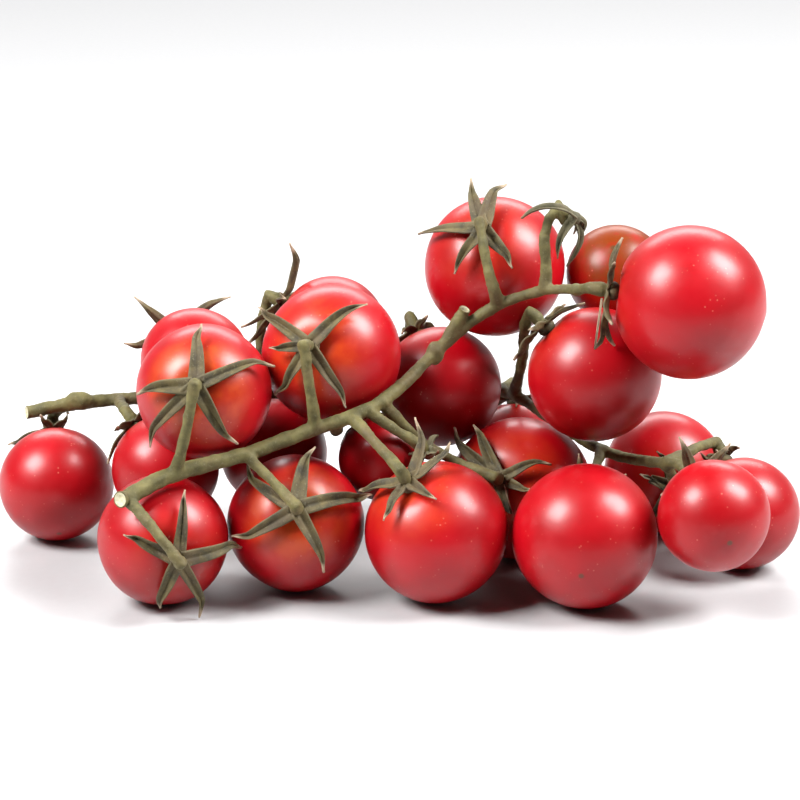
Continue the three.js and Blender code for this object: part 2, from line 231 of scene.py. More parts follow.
add_softbox("softbox_left", (-0.70, -0.28, 0.78), 0.85, 0.38, 0.38, 17.0)
add_softbox("softbox_right", (0.72, -0.05, 0.78), 0.85, 0.34, 0.46, 17.5)
add_softbox("lamp_behind", (0.0, 1.0, 0.58), 1.6, 1.4, 0.4, 15.0)

# %% Surroundings
DIM = 0.03
BRIGHT = 0.42

surroundings = bpy.context.scene.world or bpy.data.worlds.new("studio")
bpy.context.scene.world = surroundings
surroundings.use_nodes = True
sky = surroundings.node_tree
direction = sky.nodes.new("ShaderNodeTexCoord").outputs["Generated"]
split = sky.nodes.new("ShaderNodeSeparateXYZ")
sky.links.new(direction, split.inputs[0])
behind = sky.nodes.new("ShaderNodeMapRange")
behind.interpolation_type = "SMOOTHSTEP"
behind.inputs["From Min"].default_value = 0.1
behind.inputs["To Min"].default_value = DIM
behind.inputs["To Max"].default_value = BRIGHT
sky.links.new(split.outputs["Y"], behind.inputs["Value"])
sky.links.new(behind.outputs[0], sky.nodes["Background"].inputs["Strength"])
sky.nodes["Background"].inputs["Color"].default_value = (1, 0.99, 0.98, 1)

bpy.context.scene.view_settings.view_transform = "Standard"
bpy.context.scene.view_settings.look = "None"

# %% [markdown]
# ## Modelling helpers
#
# Operators act on whatever is selected, so every step starts by selecting exactly the piece, or the
# points of it, that the step is for.

# %% Helpers for modelling
def pick(piece):
    """Selects one object and makes it the active one."""
    if bpy.context.object and bpy.context.object.mode != "OBJECT":
        bpy.ops.object.mode_set(mode="OBJECT")
    bpy.ops.object.select_all(action="DESELECT")
    piece.select_set(True)
    bpy.context.view_layer.objects.active = piece


def pick_points(piece, chosen):
    """Opens the piece in edit mode with the points selected for which chosen(point) is true."""
    pick(piece)
    bpy.ops.object.mode_set(mode="EDIT")
    bpy.ops.mesh.select_mode(type="VERT")
    bpy.ops.mesh.select_all(action="DESELECT")
    bpy.ops.object.mode_set(mode="OBJECT")
    for point in piece.data.vertices:
        point.select = chosen(point.co)
    bpy.ops.object.mode_set(mode="EDIT")


def finish_modifier(piece, kind, **settings):
    """Adds a modifier to the piece and applies it."""
    pick(piece)
    bpy.ops.object.modifier_add(type=kind)
    modifier = piece.modifiers[-1]
    for name, value in settings.items():
        setattr(modifier, name, value)
    bpy.ops.object.modifier_apply(modifier=modifier.name)


def copy_of(master, name):
    """A copy with its own mesh."""
    copy = bpy.data.objects.new(name, master.data.copy())
    bpy.context.collection.objects.link(copy)
    return copy


def paint(piece, name, value_at):
    """Stores a number at each point of the mesh, for its finish to read."""
    attribute = piece.data.attributes.get(name) or piece.data.attributes.new(name, "FLOAT", "POINT")
    attribute.data.foreach_set("value", [value_at(point.co) for point in piece.data.vertices])


def smooth_step(low, high, value):
    """0 below low, 1 above high, and an even curve between."""
    share = min(1.0, max(0.0, (value - low) / (high - low)))
    return share * share * (3 - 2 * share)


def join_into(piece, others):
    """Joins other objects into the piece."""
    pick(piece)
    for other in others:
        other.select_set(True)
    bpy.ops.object.join()


def stand_for(piece, cad_node, finish):
    """Finishes a piece: it rides on the truss, stands for its CAD node and gets its finish."""
    piece.name = cad_node + "_shape"
    piece.data.name = piece.name
    piece.data.materials.clear()
    piece.data.materials.append(finish)
    pick(piece)
    bpy.ops.object.shade_smooth()
    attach(piece, "root")
    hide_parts(cad_node)


# %% [markdown]
# ## The layout of the fruits
#
# Each fruit's size and place come from its CAD node. What the box can't tell is listed here: the way
# its stem end faces, how much orange is left in the skin round the stem, and its sepals. A sepal has a
# clock direction round the stem end in degrees, a length as a share of a full one, and how many extra
# millimetres its tip lifts.

# %% Fruits
FRUITS = [
    ((0.28, -0.96, 0.06), 0.15,
     [(5, 1.05, 0), (295, 0.9, 0.5), (82, 1.25, 1.5), (200, 0.95, 0), (147, 1.15, 2)]),
    ((-0.05, -0.92, 0.38), 0.95,
     [(2, 1, 0.5), (64, 1.35, 0.5), (268, 0.95, 0.5), (228, 1.35, 0), (150, 1.1, 1)]),
    ((-0.28, -0.88, 0.39), 0.6,
     [(306, 1.2, 2.5), (42, 1.1, 1), (214, 0.95, 1), (145, 1.1, 0.5), (265, 0.6, 0)]),
    ((0.04, -0.86, 0.51), 0.8,
     [(8, 1.1, 1), (302, 1.15, 1.5), (72, 1.4, 1), (240, 1.1, 0.5), (150, 1.05, 0.5)]),
    ((-0.38, -0.4, 0.84), 0.4,
     [(5, 0.95, 7), (40, 0.95, 3), (264, 1, 1), (196, 0.7, 0.5), (120, 0.6, 0.5)]),
    ((-0.19, -0.69, 0.7), 0.25,
     [(340, 0.95, 2), (10, 0.95, 2), (277, 1.25, 1), (209, 0.8, 1), (138, 0.8, 1)]),
    ((-0.985, 0.09, 0.12), 0.1,
     [(3, 0.8, 1.5), (45, 0.7, 1), (130, 0.8, 1), (178, 0.95, 3), (200, 0.95, 1)]),
    ((0.12, 0.66, -0.74), 1.0,
     [(0, 0.7, 0), (75, 0.7, 0.5), (140, 0.8, 0.5), (215, 0.7, 1), (290, 0.8, 0)]),
    ((-0.1, 0.74, 0.66), 0.15,
     [(35, 0.45, 0), (110, 0.75, 0), (180, 0.8, 0), (250, 0.75, 0), (325, 0.4, 0)]),
    ((-0.55, 0.57, 0.61), 0.1,
     [(20, 0.6, 0), (95, 0.7, 0), (165, 0.75, 0), (240, 0.7, 0), (305, 0.6, 0)]),
    ((-0.33, 0.93, 0.17), 0.3,
     [(50, 1.05, 5), (100, 1, 2), (180, 0.8, 0), (255, 0.8, 0), (330, 1.15, 2.5)]),
    ((-0.84, 0.39, 0.38), 0.25,
     [(5, 0.95, 6.5), (75, 0.85, 1), (128, 0.85, 6), (165, 0.85, 5), (290, 0.8, 0)]),
    ((-0.02, 0.85, 0.52), 0.1,
     [(0, 0.5, 0), (72, 0.7, 0), (144, 0.7, 0), (216, 0.7, 0), (288, 0.7, 0)]),
    ((-0.38, 0.59, 0.71), 0.15,
     [(20, 0.35, 0), (75, 0.5, 0), (150, 0.8, 0), (220, 0.7, 0), (290, 0.35, 0)]),
    ((-0.35, 0.75, 0.55), 0.3,
     [(10, 0.45, 0), (80, 0.5, 0), (150, 0.5, 0), (220, 0.5, 0), (290, 0.5, 0)]),
    ((-0.3, -0.85, 0.43), 0.55,
     [(306, 1.35, 3), (332, 1.05, 1), (60, 0.8, 0.5), (110, 0.55, 1.5), (165, 0.6, 1.5)]),
    ((-0.72, 0.15, 0.68), 0.15,
     [(52, 0.85, 1), (110, 0.6, 2.5), (180, 0.7, 0), (250, 0.7, 0), (320, 0.7, 0)]),
    ((0, 0.4, 0.92), 0.2,
     [(0, 0.6, 0), (72, 0.7, 0), (144, 0.7, 0), (216, 0.7, 0), (288, 0.7, 0)]),
    ((0.1, 0.97, 0.21), 0.1,
     [(10, 0.8, 0), (80, 0.8, 0), (150, 0.8, 0), (225, 0.7, 0), (300, 0.7, 0)]),
    ((0.05, -0.99, 0.09), 0.2,
     [(350, 0.6, 0), (50, 0.6, 0.5), (125, 0.75, 0.5), (215, 0.7, 0.5), (296, 0.6, 3)]),
    ((-0.2, 0.97, 0.16), 0.1,
     [(24, 0.95, 3.5), (95, 0.6, 0.5), (165, 0.8, 0), (235, 0.7, 0), (330, 0.85, 3)]),
    ((-0.3, 0.57, 0.77), 0.15,
     [(60, 0.3, 0), (110, 0.35, 0), (155, 0.5, 0), (240, 0.5, 0), (330, 0.3, 0)]),
]
ORANGE_FRUIT = 8


class Fruit:
    """Where one fruit is, how big it is and how it lies."""

    def __init__(self, number, faces, orange, sepals):
        self.number = number
        low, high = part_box(f"tomato_{number:02d}")
        self.radius = (high.x - low.x) / 2
        self.centre = Vector(((low.x + high.x) / 2, (low.y + high.y) / 2, high.z - self.radius))
        self.axis = Vector(faces).normalized()
        self.orange = orange
        self.sepals = sepals
        self.hub_size = 1.0


fruits = [Fruit(i + 1, *row) for i, row in enumerate(FRUITS)]
print("fruit widths in mm:", [round(2 * fruit.radius / MM, 1) for fruit in fruits])

# %% [markdown]
# ## One fruit to copy
#
# All the fruits share one form: nearly a ball, with a shallow dimple where the stem was and a tiny
# raised point at the far pole, where the flower was. It starts as a UV sphere of radius 1. Moving one
# pole with proportional editing on drags its surroundings along in a soft curve, which is how a
# dimple is pressed in by hand.

# %% The master fruit
DIMPLE_DEPTH = 0.07
DIMPLE_REACH = 0.42
TIP_HEIGHT = 0.012
TIP_REACH = 0.10

bpy.ops.mesh.primitive_uv_sphere_add(segments=48, ring_count=28, radius=1, location=(0, 0, 0))
master_fruit = bpy.context.object
master_fruit.name = "master_fruit"
pick_points(master_fruit, lambda point: point.z > 0.9999)
bpy.ops.transform.translate(value=(0, 0, -DIMPLE_DEPTH), use_proportional_edit=True,
                            proportional_edit_falloff="SMOOTH", proportional_size=DIMPLE_REACH)
pick_points(master_fruit, lambda point: point.z < -0.9999)
bpy.ops.transform.translate(value=(0, 0, -TIP_HEIGHT), use_proportional_edit=True,
                            proportional_edit_falloff="SHARP", proportional_size=TIP_REACH)
finish_modifier(master_fruit, "SUBSURF", levels=1, render_levels=1)
print("master fruit:", len(master_fruit.data.polygons), "faces")

# %% [markdown]
# ## Skin
#
# Ripe skin is one smooth sheet of deep red with a waxy bloom. Close up it isn't even: broad patches
# are a little darker, the shoulders near the stem may still be orange, and there are tiny pale pores
# and rubbed spots. The orange share is painted on the mesh, because only the mesh knows where the
# fruit's own stem end is. Slightly uneven roughness breaks the highlight up, and a thin coat gives it
# a brighter heart. The one fruit that is still half orange is duller, so its skin gets less gloss.

# %% Skin finish
RIPE_IOR = 1.39
RIPE_COAT = 0.24


def skin_finish(name, deep, bright, unripe, gloss):
    """Skin that goes from deep to bright red in patches, and to the unripe colour where painted.

    gloss is its shine as a share of a ripe fruit's.
    """
    finish, shader = new_finish(name)
    tree = finish.node_tree
    patches = ramp(finish, mottle(finish, 0.016, 2), 0.35, 0.65)
    red = blend_colour(finish, patches, deep, bright)
    wobble = ramp(finish, mottle(finish, 0.006, 4, 0.6), 0.32, 0.68, 0.45, 1.35)
    unripe_share = multiply(finish, painted(finish, "orange"), wobble)
    coloured = blend_colour(finish, unripe_share, red, unripe)

    cells = {"Vector": piece_place(finish), "Scale": 1 / (1.3 * MM), "Randomness": 1.0}
    pore_distance = node(finish, "TexVoronoi", cells)
    pores = ramp(finish, pore_distance, 0.08, 0.20, 1, 0)
    sparse = ramp(finish, mottle(finish, 0.0035, 4), 0.46, 0.66)
    pore_share = multiply(finish, multiply(finish, pores, sparse), 0.6)
    speckled = blend_colour(finish, pore_share, coloured, (0.52, 0.13, 0.09, 1))

    rubbed = ramp(finish, mottle(finish, 0.0022, 5, 0.7), 0.68, 0.76)
    rubbed = multiply(finish, multiply(finish, rubbed, ramp(finish, mottle(finish, 0.011), 0.5, 0.6)), 0.35)
    worn = blend_colour(finish, rubbed, speckled, (0.34, 0.06, 0.04, 1))

    scar = ramp(finish, painted(finish, "from_flower"), 0.35, 0.8, 1, 0)
    scarred = blend_colour(finish, multiply(finish, scar, 0.8), worn, (0.07, 0.035, 0.012, 1))
    plug(tree, shader.inputs["Base Color"], scarred)

    bloom = ramp(finish, mottle(finish, 0.004, 5, 0.65), 0.3, 0.7, 0.37, 0.43)
    plug(tree, shader.inputs["Roughness"], bloom)
    uneven = bumps(finish, mottle(finish, 0.007, 2), 0.10 * MM)
    grained = bumps(finish, mottle(finish, 0.0009, 3), 0.005 * MM, uneven)
    plug(tree, shader.inputs["Normal"], grained)
    shader.inputs["IOR"].default_value = 1 + (RIPE_IOR - 1) * gloss
    shader.inputs["Coat Weight"].default_value = RIPE_COAT * gloss
    shader.inputs["Coat Roughness"].default_value = 0.26
    shader.inputs["Subsurface Weight"].default_value = 0.12
    shader.inputs["Subsurface Radius"].default_value = (1.0, 0.25, 0.12)
    shader.inputs["Subsurface Scale"].default_value = 2.0 * MM
    return finish


ripe_skin = skin_finish("ripe_skin", (0.300, 0.0001, 0.003, 1), (0.375, 0.0002, 0.005, 1),
                        (0.46, 0.048, 0.004, 1), gloss=1.0)
ripening_skin = skin_finish("ripening_skin", (0.260, 0.0006, 0.002, 1), (0.320, 0.0014, 0.004, 1),
                            (0.16, 0.024, 0.0006, 1), gloss=0.7)

# %% [markdown]
# ## Placing the fruits
#
# A copy of the master is turned so that its +Z axis, the stem end, faces the way its row says. Then it
# is swollen into three to five faint lobes, so that no two fruits are alike, and moved into place.
# A fruit that rests is pressed flat where it meets the table. All of this goes into the mesh itself,
# so the object stays at the origin like the CAD nodes.

# %% Fruits
LOBE_DEPTH = 0.006
SQUAT = 0.985
SHOULDER_FADE = (0.50, 0.97)
HALF_RIPE_SIDE = Vector((0.45, -0.35, 0.80)).normalized()
HALF_RIPE_FADE = (-0.45, 0.60)
chance = random.Random(5)


def place_fruit(fruit):
    """A copy of the master fruit, shaped and placed as this fruit."""
    piece = copy_of(master_fruit, "fruit")
    turn = Vector((0, 0, 1)).rotation_difference(fruit.axis).to_matrix().to_4x4()
    roll = Matrix.Rotation(chance.uniform(0, math.tau), 4, "Z")
    lobes = chance.choice((3, 4, 5))
    squat = chance.uniform(SQUAT - 0.012, 1.0)
    phase = chance.uniform(0, math.tau)
    for point in piece.data.vertices:
        across = math.hypot(point.co.x, point.co.y)
        around = math.atan2(point.co.y, point.co.x)
        swell = 1 + LOBE_DEPTH * across * math.cos(lobes * around + phase)
        point.co = Vector((point.co.x * swell, point.co.y * swell, point.co.z * squat))
    piece.data.transform(Matrix.Translation(fruit.centre) @ turn @ roll @ Matrix.Scale(fruit.radius, 4))
    for point in piece.data.vertices:
        point.co.z = max(point.co.z, 0.0)

    # the pale side is round the stem end, or on top and to the right on the half-ripe fruit
    half_ripe = fruit.number == ORANGE_FRUIT
    pale_side = HALF_RIPE_SIDE if half_ripe else fruit.axis
    low, high = HALF_RIPE_FADE if half_ripe else SHOULDER_FADE

    def orange_at(co):
        facing = (co - fruit.centre).normalized().dot(pale_side)
        return fruit.orange * smooth_step(low, high, facing)

    def from_flower(co):
        angle = (co - fruit.centre).angle(-fruit.axis, 0)
        return angle * fruit.radius / MM

    paint(piece, "orange", orange_at)
    paint(piece, "from_flower", from_flower)
    name = f"tomato_{fruit.number:02d}"
    if half_ripe:
        stand_for(piece, name, ripening_skin)
    else:
        stand_for(piece, name, ripe_skin)
    return piece


fruit_pieces = [place_fruit(fruit) for fruit in fruits]
bpy.data.objects.remove(master_fruit)
print("fruits:", len(fruit_pieces), "with", sum(len(p.data.polygons) for p in fruit_pieces), "faces")

# %% [markdown]
# ## Green finishes
#
# Stem and sepals are olive green, mottled, dull and covered in very fine hair, which catches light at
# the edges as a soft sheen. Sepals dry from the tip, so the share along the sepal is painted on the
# mesh and turns the tip to straw. The rims of the sepals are painted paler. Partly that is the pale down
# on them, and partly it is painted light: the raised edges are lit against the shaded groove in the middle.

# %% Stem, sepal and dry finishes
def green_finish(name, dark, light, ribs):
    """Hairy green skin. ribs is the depth of its fine roughness in metres."""
    finish, shader = new_finish(name)
    tree = finish.node_tree
    patches = ramp(finish, mottle(finish, 0.0035, 4, 0.6), 0.32, 0.68)
    green = blend_colour(finish, patches, dark, light)
    browned = ramp(finish, mottle(finish, 0.009, 3), 0.48, 0.66, 0, 0.5)
    green = blend_colour(finish, browned, green, (0.085, 0.052, 0.020, 1))
    grit = mottle(finish, 0.0005, 3, 0.6)
    speckled = blend_colour(finish, ramp(finish, grit, 0.56, 0.74, 0, 0.55), green, (0.17, 0.155, 0.08, 1))
    shader.inputs["Roughness"].default_value = 0.72
    shader.inputs["Sheen Weight"].default_value = 0.08
    shader.inputs["Sheen Roughness"].default_value = 0.45
    shader.inputs["Sheen Tint"].default_value = (0.85, 0.82, 0.50, 1)
    coarse = bumps(finish, mottle(finish, 0.0014, 3), ribs)
    plug(tree, shader.inputs["Normal"], bumps(finish, grit, ribs * 0.35, coarse))
    return finish, shader, speckled


def sepal_finish(name, dark, light, tip):
    """Green skin with pale rims and a dry tip; the rims are partly pale down and partly painted light
    beside the shaded groove.
    """
    finish, shader, green = green_finish(name, dark, light, 0.12 * MM)
    # painted light: the rims are made paler, partly for the pale down on them and partly as light on the
    # raised edges, leaving the groove darker as if shaded
    rim_down_and_light = ramp(finish, painted(finish, "across"), 0.62, 1.0, 0, 0.35)
    rimmed_down_and_light = blend_colour(finish, rim_down_and_light, green, (0.115, 0.100, 0.052, 1))
    wobble = add_numbers(finish, painted(finish, "along"), multiply(finish, mottle(finish, 0.0015), 0.12))
    dry = ramp(finish, wobble, 0.86, 1.00)
    plug(finish.node_tree, shader.inputs["Base Color"], blend_colour(finish, dry, rimmed_down_and_light, tip))
    return finish


stem_green, stem_shader, stem_colour = green_finish(
    "stem_green", (0.062, 0.054, 0.013, 1), (0.132, 0.114, 0.034, 1), 0.10 * MM)
plug(stem_green.node_tree, stem_shader.inputs["Base Color"], stem_colour)
sepal_green = sepal_finish(
    "sepal_green", (0.026, 0.020, 0.007, 1), (0.100, 0.075, 0.023, 1), (0.32, 0.24, 0.16, 1))
dry_flower = sepal_finish(
    "dry_flower", (0.047, 0.042, 0.019, 1), (0.134, 0.120, 0.062, 1), (0.20, 0.14, 0.08, 1))

# %% [markdown]
# ## One sepal to copy
#
# A sepal is a small pointed leaf, folded a little along its midrib. It starts as a flat grid one
# sepal long. Each row of the grid is scaled across to the outline, a slim leaf that is widest before
# its middle, and the middle line is pushed down for the groove. Solidify gives it its thickness.

# %% The master sepal
SEPAL_LENGTH = 15 * MM
SEPAL_WIDTH = 4.1 * MM
SEPAL_THICKNESS = 0.42 * MM
GROOVE_DEPTH = 0.42 * MM
ROWS = 22
COLUMNS = 8


def outline(share):
    """Width of a sepal as a share of SEPAL_WIDTH, at a share of the way to its tip."""
    return max(0.07, (1 - share) ** 0.92 * (0.84 + 0.62 * share))


bpy.ops.mesh.primitive_grid_add(x_subdivisions=ROWS, y_subdivisions=COLUMNS, size=1, location=(0, 0, 0))
master_sepal = bpy.context.object
master_sepal.name = "master_sepal"
for row in range(ROWS + 1):
    share = row / ROWS
    pick_points(master_sepal, lambda point: abs(point.x + 0.5 - share) < 0.2 / ROWS)
    bpy.ops.transform.resize(value=(1, outline(share) * SEPAL_WIDTH, 1), center_override=(0, 0, 0))
for column, depth in ((0, 1.0), (1, 0.45)):
    pick_points(master_sepal, lambda point: False)
    bpy.ops.object.mode_set(mode="OBJECT")
    for point in master_sepal.data.vertices:
        half = outline(point.co.x + 0.5) * SEPAL_WIDTH / 2
        point.select = abs(abs(point.co.y) / half - column * 2 / COLUMNS) < 0.1
    bpy.ops.object.mode_set(mode="EDIT")
    bpy.ops.transform.translate(value=(0, 0, -GROOVE_DEPTH * depth))
pick(master_sepal)
master_sepal.data.transform(Matrix.Translation((0.5, 0, 0)))
master_sepal.data.transform(Matrix.Diagonal((SEPAL_LENGTH, 1, 1, 1)))
paint(master_sepal, "along", lambda co: co.x / SEPAL_LENGTH)
paint(master_sepal, "across", lambda co: abs(co.y) / (outline(co.x / SEPAL_LENGTH) * SEPAL_WIDTH / 2))
finish_modifier(master_sepal, "SOLIDIFY", thickness=SEPAL_THICKNESS, offset=0)
print("master sepal:", [round(x / MM, 2) for x in master_sepal.dimensions], "mm")

# %% [markdown]
# ## Keeping leaves clear
#
# A sepal lies just off its own fruit, and may meet another fruit or the stem. A ball is easy to stay
# out of: a point that is too near is pushed straight out from its centre. For the stem a BVH tree
# finds the nearest place on its surface, and the point is pushed out along that place's normal.

# %% Clear of fruits and stem
CLEAR_ROUNDS = 8
FLOOR_CLEARANCE = 0.5 * MM

vine_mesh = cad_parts["vine"].data
vine_surface = BVHTree.FromPolygons(
    [tuple(point.co) for point in vine_mesh.vertices],
    [tuple(face.vertices) for face in vine_mesh.polygons])


def push_clear(point, room, own):
    """Moves a point out of every other fruit, the stem and the table by `room`."""
    for _ in range(CLEAR_ROUNDS):
        for fruit in fruits:
            away = point - fruit.centre
            if fruit is not own and away.length < fruit.radius + room:
                point = fruit.centre + away.normalized() * (fruit.radius + room)
        near, normal, _, distance = vine_surface.find_nearest(point)
        if (point - near).dot(normal) < 0 or distance < room:
            point = near + normal * room
        point.z = max(point.z, FLOOR_CLEARANCE)
    return point


# %% [markdown]
# ## Stars of sepals
#
# Five sepals and a low hub make the star on each fruit. A sepal follows the curve of the skin out
# from the stem end, arches a little off it and lifts at its tip. Real ones are never flat: each gets
# its own fold, twist, sideways bend and curl of the tip. The master sepal is laid along that line
# point by point: its length goes along the line, its width across it and its thickness off the skin.

# %% Laying a sepal
HUB_WIDTH = 4.8 * MM
HUB_HEIGHT = 1.5 * MM
SKIN_GAP = 0.25 * MM
SEPAL_LIFT = 1.2 * MM
SEPAL_ARCH = 0.75 * MM
SEPAL_ROOT = 0.3
LINE_STEPS = 28
SHORT_WIDTH = 0.6
ROOT_RISE = 0.7 * MM
LAYER = 0.06 * MM
VIEW_UP = Vector((0, 0.31, 0.95))


def across_of(axis):
    """The most upward direction across an axis, and the one clockwise from it."""
    upward = (VIEW_UP - axis * VIEW_UP.dot(axis)).normalized()
    return upward, upward.cross(axis)


def sepal_line(fruit, clock, length, lift, bend, hook, curl, layer):
    """Points along the middle of a sepal, with the direction off the skin at each."""
    upward, clockwise = across_of(fruit.axis)
    turn = math.radians(clock)
    start = HUB_WIDTH / 2 * fruit.hub_size * SEPAL_ROOT
    points, normals = [], []
    for i in range(LINE_STEPS + 1):
        share = i / LINE_STEPS
        swing = turn + bend * share ** 2 + hook * smooth_step(0.65, 1.0, share)
        out = upward * math.cos(swing) + clockwise * math.sin(swing)
        reach = start + (SEPAL_LENGTH * length - start) * share
        root_rise = ROOT_RISE * (1 - smooth_step(0.02, 0.22, share)) * fruit.hub_size
        tip_lift = (SEPAL_LIFT + lift * MM) * share ** 2
        tip_curl = curl * MM * smooth_step(0.7, 1.0, share)
        above = SKIN_GAP + SEPAL_THICKNESS / 2 + root_rise + tip_lift + tip_curl
        above += SEPAL_ARCH * math.sin(math.pi * share) + layer
        angle = reach / (fruit.radius + above)
        normal = fruit.axis * math.cos(angle) + out * math.sin(angle)
        point = fruit.centre + normal * (fruit.radius + above)
        if share > 0.4:
            point = push_clear(point, (0.3 + 1.3 * outline(share)) * MM, fruit)
        points.append(point)
        normals.append(normal)
    return points, normals


def lay_along(points, normals, narrow, twist, fold):
    """A copy of the master sepal, laid along a line of points."""
    piece = copy_of(master_sepal, "sepal")
    for point in piece.data.vertices:
        share = min(1.0, max(0.0, point.co.x / SEPAL_LENGTH))
        at = min(share * (len(points) - 1), len(points) - 1 - 1e-6)
        first = int(at)
        part = at - first
        middle = points[first].lerp(points[first + 1], part)
        along = (points[first + 1] - points[first]).normalized()
        normal = normals[first].lerp(normals[first + 1], part)
        normal = (normal - along * normal.dot(along)).normalized()
        side = normal.cross(along)
        width = point.co.y * narrow
        height = point.co.z * (1 - 0.45 * share)
        height += fold * abs(width) * smooth_step(0.1, 0.6, share)
        angle = twist * share ** 1.5
        across = width * math.cos(angle) - height * math.sin(angle)
        off = width * math.sin(angle) + height * math.cos(angle)
        point.co = middle + side * across + normal * off
    return piece


def lay_sepal(fruit, clock, length, lift, layer):
    """A sepal that lies on the fruit, with its own bend, fold and curl."""
    bend = chance.uniform(-0.16, 0.16)
    curl = chance.uniform(-0.5, 1.8)
    twist = chance.uniform(-0.8, 0.8)
    fold = chance.uniform(0.15, 0.95)
    narrow = min(1.0, SHORT_WIDTH + (1 - SHORT_WIDTH) * length) * chance.uniform(0.80, 1.08)
    hook = chance.uniform(-0.17, 0.17)
    points, normals = sepal_line(fruit, clock, length, lift, bend, hook, curl, layer)
    return lay_along(points, normals, narrow, twist, fold)


# %% The hub in the middle of a star
HUB_SPREAD = 0.42
HUB_RISE = 0.95


def add_hub(fruit):
    """A low dome on the stem end, which the sepals grow out of."""
    width = HUB_WIDTH * fruit.hub_size
    height = HUB_HEIGHT * fruit.hub_size
    bpy.ops.object.select_all(action="DESELECT")
    bpy.ops.mesh.primitive_uv_sphere_add(segments=20, ring_count=12, radius=1, location=(0, 0, 0))
    hub = bpy.context.object
    turn = Vector((0, 0, 1)).rotation_difference(fruit.axis).to_matrix().to_4x4()
    foot = fruit.centre + fruit.axis * (fruit.radius - 0.1 * MM)
    size = Matrix.Diagonal((width * HUB_SPREAD, width * HUB_SPREAD, height * HUB_RISE, 1))
    hub.data.transform(Matrix.Translation(foot) @ turn @ size)
    paint(hub, "along", lambda co: 0.0)
    paint(hub, "across", lambda co: 0.3)
    return hub


def make_star(fruit, cad_node, finish):
    """The hub and its sepals as one piece."""
    hub = add_hub(fruit)
    join_into(hub, [lay_sepal(fruit, *sepal, order * LAYER) for order, sepal in enumerate(fruit.sepals)])
    stand_for(hub, cad_node, finish)
    return hub


stars = [make_star(fruit, f"calyx_{fruit.number:02d}", sepal_green) for fruit in fruits]
print("stars:", len(stars), "with", sum(len(star.data.polygons) for star in stars), "faces")

# %% [markdown]
# ## Withered flowers
#
# Two flowers set no fruit. The one at the top hangs from the bend of its stalk: its sepals dried where
# they were, one arched away to the left and the others drooping, so each follows a line of a few given
# points. A Catmull-Rom curve runs smoothly through such points. The other flower, deep in the truss,
# closed up, and its sepals are laid on a small ball of empty space instead of on a fruit.

# %% Withered flowers
WITHERED_WIDTH = 5 * MM
WITHERED = [
    ((36.65, -1.225, 73), (-0.3, 0.09, 0.92), []),
    ((9.15, -12.725, 27.5), (-0.7, -0.23, 0.6),
     [(10, 0.35, 1), (90, 0.4, 1), (180, 0.35, 0.5), (260, 0.35, 1)]),
]
DROOPING = [
    ([(37.9, -2.2, 77.6), (35.4, -4.0, 79.6), (31.6, -4.2, 79.9), (28.5, -3.8, 78.9), (26.4, -3.2, 77.3)],
     (0, -0.5, 0.9), 0.62),
    ([(37.4, -2.0, 77.2), (35.6, -3.2, 74.6), (34.5, -3.4, 71.6), (34.2, -3.2, 68.6)],
     (-0.5, -0.8, 0.3), 0.62),
    ([(38.0, -1.6, 77.0), (38.9, -1.8, 73.4), (37.9, -1.8, 69.8), (36.2, -1.6, 66.4)],
     (0.8, -0.6, 0.2), 0.60),
    ([(38.2, -1.0, 77.4), (39.6, -0.8, 75.6), (39.4, -0.8, 73.2)], (0.8, -0.5, 0.4), 0.50),
    ([(37.8, 0.2, 77.2), (38.4, 1.6, 75.2), (37.8, 2.2, 72.4)], (0.4, 0.9, 0.2), 0.50),
]
DROOPING_HUB = (37.6, -1.3, 76.8)


class WitheredFlower:
    """The empty space that the sepals of a withered flower close round."""

    def __init__(self, at, faces, sepals):
        self.centre = Vector(at) * MM
        self.axis = Vector(faces).normalized()
        self.radius = WITHERED_WIDTH / 2
        self.sepals = sepals
        self.hub_size = 0.8


def curve_through(places):
    """Points on a Catmull-Rom curve through the places, which are in mm."""
    knots = [Vector(place) * MM for place in places]
    knots = [knots[0] * 2 - knots[1]] + knots + [knots[-1] * 2 - knots[-2]]
    points = []
    for i in range(LINE_STEPS + 1):
        at = min(i / LINE_STEPS * (len(knots) - 3), len(knots) - 3 - 1e-6)
        first = int(at)
        t = at - first
        a, b, c, d = knots[first:first + 4]
        square = (a * 2 - b * 5 + c * 4 - d) * t ** 2
        cube = (b * 3 - a - c * 3 + d) * t ** 3
        points.append((b * 2 + (c - a) * t + square + cube) / 2)
    return points


def drooping_flower():
    """A small dry hub with sepals that hang from it."""
    bpy.ops.object.select_all(action="DESELECT")
    bpy.ops.mesh.primitive_uv_sphere_add(segments=20, ring_count=12, radius=1.5 * MM)
    hub = bpy.context.object
    hub.data.transform(Matrix.Translation(Vector(DROOPING_HUB) * MM))
    paint(hub, "along", lambda co: 0.0)
    paint(hub, "across", lambda co: 0.3)
    sepals = []
    for places, faces, narrow in DROOPING:
        points = curve_through(places)
        normals = [Vector(faces).normalized()] * len(points)
        twist = chance.uniform(-0.4, 0.4)
        fold = chance.uniform(0.5, 1.0)
        sepals.append(lay_along(points, normals, narrow, twist, fold))
    join_into(hub, sepals)
    stand_for(hub, "withered_flower_1", dry_flower)
    return hub


flowers = [WitheredFlower(*row) for row in WITHERED]
withered = [drooping_flower(), make_star(flowers[1], "withered_flower_2", dry_flower)]
bpy.data.objects.remove(master_sepal)
print("withered flowers:", [piece.name for piece in withered])

# %% [markdown]
# ## The stem
#
# The CAD stem is made of six-sided tubes that run into each other. A copy of it, with its loose
# triangles merged, is joined with a swollen joint and a flared end for each stalk and with two old
# knots, each given by its place and its three radii in millimetres. Then it is remeshed: Voxel Remesh
# fills everything with a fine even grid and keeps only the outside, so all the joins become one skin.
# Smoothing rounds the corners off into the webs that real forks have. Three Displace modifiers follow:
# one gives back the girth, and two add coarse and fine lumps.

